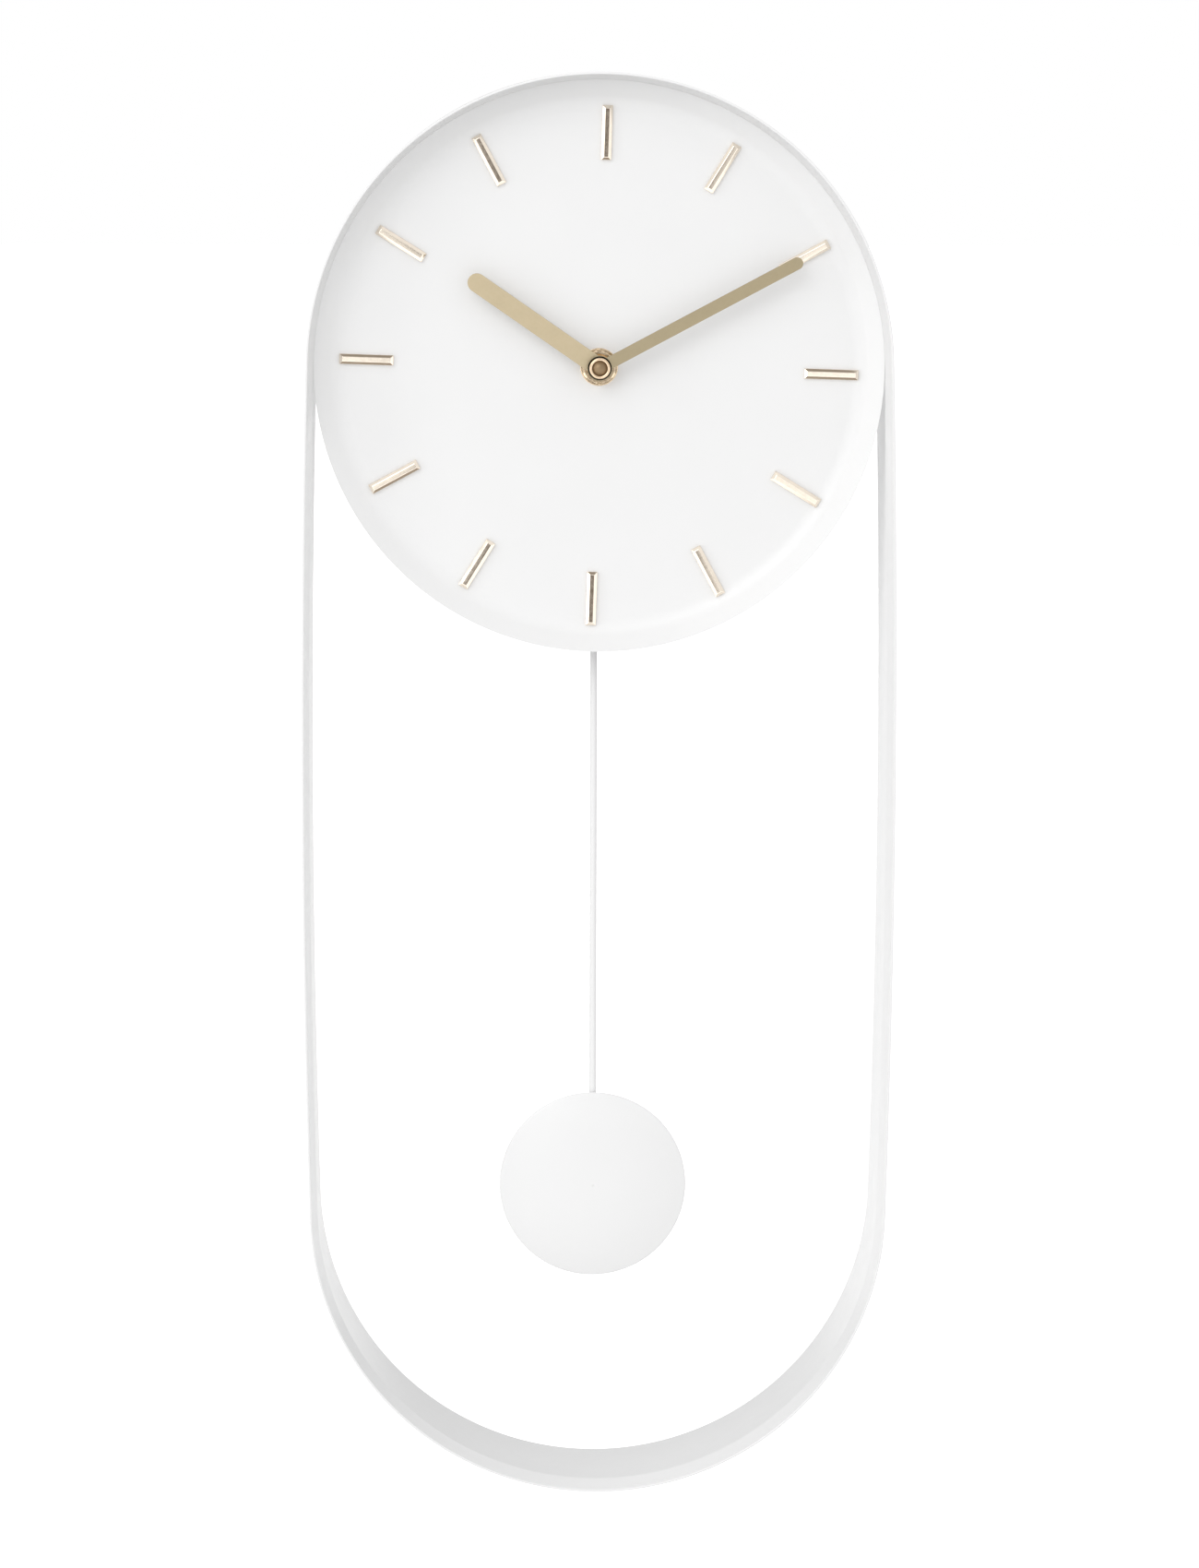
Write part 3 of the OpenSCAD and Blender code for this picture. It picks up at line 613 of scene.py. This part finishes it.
def build_cap(centre):
    """Cap nut with a round shoulder and a shallow well, whose floor is a disc of darker brass:
    painted shade in the well.
    """
    low, high = off_wall("hand_nut")
    r, well = half_width("hand_nut"), 2.65 * MM
    shoulder, chamfer = 0.5 * MM, 0.12 * MM
    bottom = high - 0.4 * MM
    cap = [(NEAR_AXIS, low), (r, low), (r, high - shoulder)]
    cap += arc((r - shoulder, high - shoulder), shoulder, 0, 90, 8)[1:]
    cap += [(well + chamfer, high), (well, high - chamfer), (well, bottom)]
    nut = lathe("hand_cap_nut", cap + [(NEAR_AXIS, bottom)], centre, 128)
    dress(smooth(nut), "brass", "minute_works", "hand_nut", material=CAP_BRASS)
    # The disc on the well's floor is painted shade: its darker brass stands in for the dark of
    # the recess.
    reach, top = well - 0.05 * MM, bottom + 0.02 * MM
    floor = [(NEAR_AXIS, bottom), (reach, bottom), (reach, top), (NEAR_AXIS, top)]
    disc = lathe("hand_cap_well_painted_shade", floor, centre, 64)
    dress(smooth(disc), "brass", "minute_works", material=CAP_WELL_PAINTED_SHADE)


def build_stack():
    centre = (AXIS.x, AXIS.z)
    build_washer(centre)
    build_nut(centre)
    build_bush(centre)
    build_cap(centre)


# ---- Pendulum ----

def build_bob():
    """Domed sheet with a rolled edge."""
    centre = (BOB.x, BOB.z)
    dome_r = (BOB_R ** 2 + BOB_DOME ** 2) / (2 * BOB_DOME)
    edge = BOB_WALL / 2

    def dome(r, rise):
        return rise + math.sqrt(dome_r ** 2 - r ** 2) - dome_r + BOB_DOME

    steps = 28
    out = [(BOB_R - edge) * i / steps for i in range(1, steps + 1)]
    front = [(NEAR_AXIS, BOB_FRONT)] + [(r, dome(r, BOB_BACK + BOB_WALL)) for r in out]
    back = [(r, dome(r, BOB_BACK)) for r in reversed(out)] + [(NEAR_AXIS, BOB_BACK + BOB_DOME)]
    lean = math.degrees(math.asin(BOB_R / dome_r))
    mid = dome(BOB_R - edge, BOB_BACK + edge)
    rolled = arc((BOB_R - edge, mid), edge, 90 - lean, -90 - lean, 10)[1:-1]
    bob = lathe("bob_disc", front + rolled + back, centre, 192)
    dress(smooth(bob), "white_lacquer", PENDULUM, "bob")


def build_rod():
    """Wire rod with an eye at the top that hangs on the lever's peg."""
    low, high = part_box("pendulum_rod")
    x, y = (low.x + high.x) / 2, (low.y + high.y) / 2
    r = (high.y - low.y) / 2
    eye_r = (high.x - low.x) / 2
    eye = high.z - eye_r
    bore, chamfer, overlap = 1 * MM, 0.3 * MM, 1 * MM
    levels = [(low.z, r - chamfer), (low.z + chamfer, r), (eye - bore - overlap, r)]
    sides = 32
    angles = [2 * math.pi * i / sides for i in range(sides)]
    rings = []
    for z, ring_r in levels:
        rings.append([(x + ring_r * math.cos(a), y + ring_r * math.sin(a), z) for a in angles])
    rod = add_mesh("rod_wire", *skin(rings, closed_path=False, caps=True))
    dress(smooth(rod), "white_lacquer", PENDULUM, "pendulum_rod")
    half = 0.9 * MM
    wall = [(bore, -y - half), (eye_r, -y - half), (eye_r, -y + half), (bore, -y + half)]
    ring = lathe("rod_eye", round_corners(wall, 0.35 * MM), (x, eye), 48)
    dress(smooth(ring), "white_lacquer", PENDULUM)


# ---- Pieces that keep their CAD shape ----

EDGES = {
    "zinc_steel": 0.15 * MM,
    "black_plastic": 0.45 * MM,
    "white_plastic": 0.05 * MM,
    "rubber": 0.1 * MM,
    "cell_jacket": 0.5 * MM,
    "nickel": 0.05 * MM,
    "board_green": 0.05 * MM,
    "copper_wire": 0.3 * MM,
    "magnet": 0.2 * MM,
    "brass": 0.1 * MM,
    "white_lacquer": 0.3 * MM,
}


def dress_frame():
    """Every CAD node that still shows gets its slot's material and softened edges."""
    slots = {part["node"]: part["material_slot"] for part in frame["record"]["subparts"]}
    for name, obj in frame["nodes"].items():
        if obj.hide_render:
            continue
        slot = slots[name]
        obj.data.materials.clear()
        obj.data.materials.append(SLOTS[slot])
        soften(obj, EDGES[slot], 2)


# ---- Studio ----

def look_along(eye, yaw, pitch, roll):
    """Camera matrix at eye, turned right by yaw, down by pitch and over by roll, in radians."""
    level = math.cos(pitch)
    ahead = Vector((math.sin(yaw) * level, math.cos(yaw) * level, -math.sin(pitch)))
    right = Vector((math.cos(yaw), -math.sin(yaw), 0))
    up = right.cross(ahead)
    side = right * math.cos(roll) + up * math.sin(roll)
    top = up * math.cos(roll) - right * math.sin(roll)
    turn = Matrix((side, top, -ahead)).transposed()
    return Matrix.Translation(eye) @ turn.to_4x4()


def build_camera():
    data = bpy.data.cameras.new("camera")
    data.sensor_width = 36
    data.lens = CAMERA_LENS
    data.clip_start, data.clip_end = 0.05, 100
    camera = bpy.data.objects.new("camera", data)
    bpy.context.scene.collection.objects.link(camera)
    camera.matrix_world = look_along(CAMERA_EYE, CAMERA_YAW, CAMERA_PITCH, CAMERA_ROLL)
    bpy.context.scene.camera = camera


def add_light(name, place, target, width, height, power):
    data = bpy.data.lights.new(name, "AREA")
    data.shape = "RECTANGLE"
    data.size, data.size_y = width, height
    data.energy = power
    light = bpy.data.objects.new(name, data)
    bpy.context.scene.collection.objects.link(light)
    light.location = place
    light.rotation_euler = (Vector(target) - Vector(place)).to_track_quat("-Z", "Y").to_euler()
    return light


def stage_plane(name, width, height, place, target, colour, glow=0.0):
    """A card that faces a point and isn't part of the clock."""
    x, y = width / 2, height / 2
    card = add_mesh(name, [(-x, -y, 0), (x, -y, 0), (x, y, 0), (-x, y, 0)], [(0, 1, 2, 3)])
    card.location = place
    card.rotation_euler = (Vector(target) - Vector(place)).to_track_quat("Z", "Y").to_euler()
    paint = Paint(name, 0.9).colour(colour, 0.004, 0.5)
    paint.set("Specular IOR Level", 0.0)
    paint.set("Emission Color", (1, 1, 1, 1)).set("Emission Strength", glow)
    card.data.materials.append(paint.mat)
    return card


def build_sky(bright, dim):
    """White to the camera, with light that fades from above and in front to below and behind."""
    world = bpy.data.worlds.new("studio")
    bpy.context.scene.world = world
    world.use_nodes = True
    nodes, links = world.node_tree.nodes, world.node_tree.links
    away = nodes.new("ShaderNodeVectorMath")
    away.operation = "DOT_PRODUCT"
    away.inputs[1].default_value = (0, 0.75, -0.66)
    links.new(nodes.new("ShaderNodeTexCoord").outputs["Generated"], away.inputs[0])
    fall = nodes.new("ShaderNodeMapRange")
    fall.interpolation_type = "SMOOTHSTEP"
    limits = {"From Min": -0.3, "From Max": 0.6, "To Min": bright, "To Max": dim}
    for socket, value in limits.items():
        fall.inputs[socket].default_value = value
    links.new(away.outputs["Value"], fall.inputs["Value"])
    seen = nodes.new("ShaderNodeMath")
    seen.operation = "MAXIMUM"
    links.new(fall.outputs["Result"], seen.inputs[0])
    links.new(nodes.new("ShaderNodeLightPath").outputs["Is Camera Ray"], seen.inputs[1])
    nodes["Background"].inputs["Color"].default_value = (1, 1, 1, 1)
    links.new(seen.outputs["Value"], nodes["Background"].inputs["Strength"])


def build_studio():
    """Soft light, a floor well below the clock, and flags that only reflections see."""
    view = bpy.context.scene.view_settings
    view.view_transform = "Standard"
    view.look = "None"
    build_sky(1.02, 0.5)
    dial = (0, -LOOP_DEPTH, AXIS.z)
    add_light("key", (-1, -2.1, AXIS.z + 1.1), dial, 1.5, 1.5, 15.5)
    add_light("fill", (0, -2, AXIS.z - 1.3), dial, 1.2, 1.0, 8.5)
    add_light("side", (-2.2, -0.95, AXIS.z), dial, 0.5, 2.0, 7)
    floor_z = LOOP_LOW.z - 0.5
    floor = stage_plane("floor", 60, 60, (0, 0, floor_z), (0, 0, 10), (0.96, 0.96, 0.955), 0.45)
    floor.visible_diffuse = False
    flags = (("front_flag", 0.25, 0.75, (0.045, -2.7, AXIS.z - 0.15), (0.25, 0.21, 0.18)),
             ("top_flag", 0.8, 0.4, (0.05, -0.5, AXIS.z + 1.15), (0.6, 0.53, 0.46)),
             ("low_flag", 0.6, 0.25, (0.05, -0.23, AXIS.z - 0.72), (0.4, 0.35, 0.3)))
    for name, width, height, place, colour in flags:
        flag = stage_plane(name, width, height, place, dial, colour)
        flag.visible_camera = False
        flag.visible_diffuse = False
        flag.visible_shadow = False


build_camera()
build_loop()
build_dish()
build_markers()
build_hands()
build_stack()
build_bob()
build_rod()
dress_frame()
build_studio()
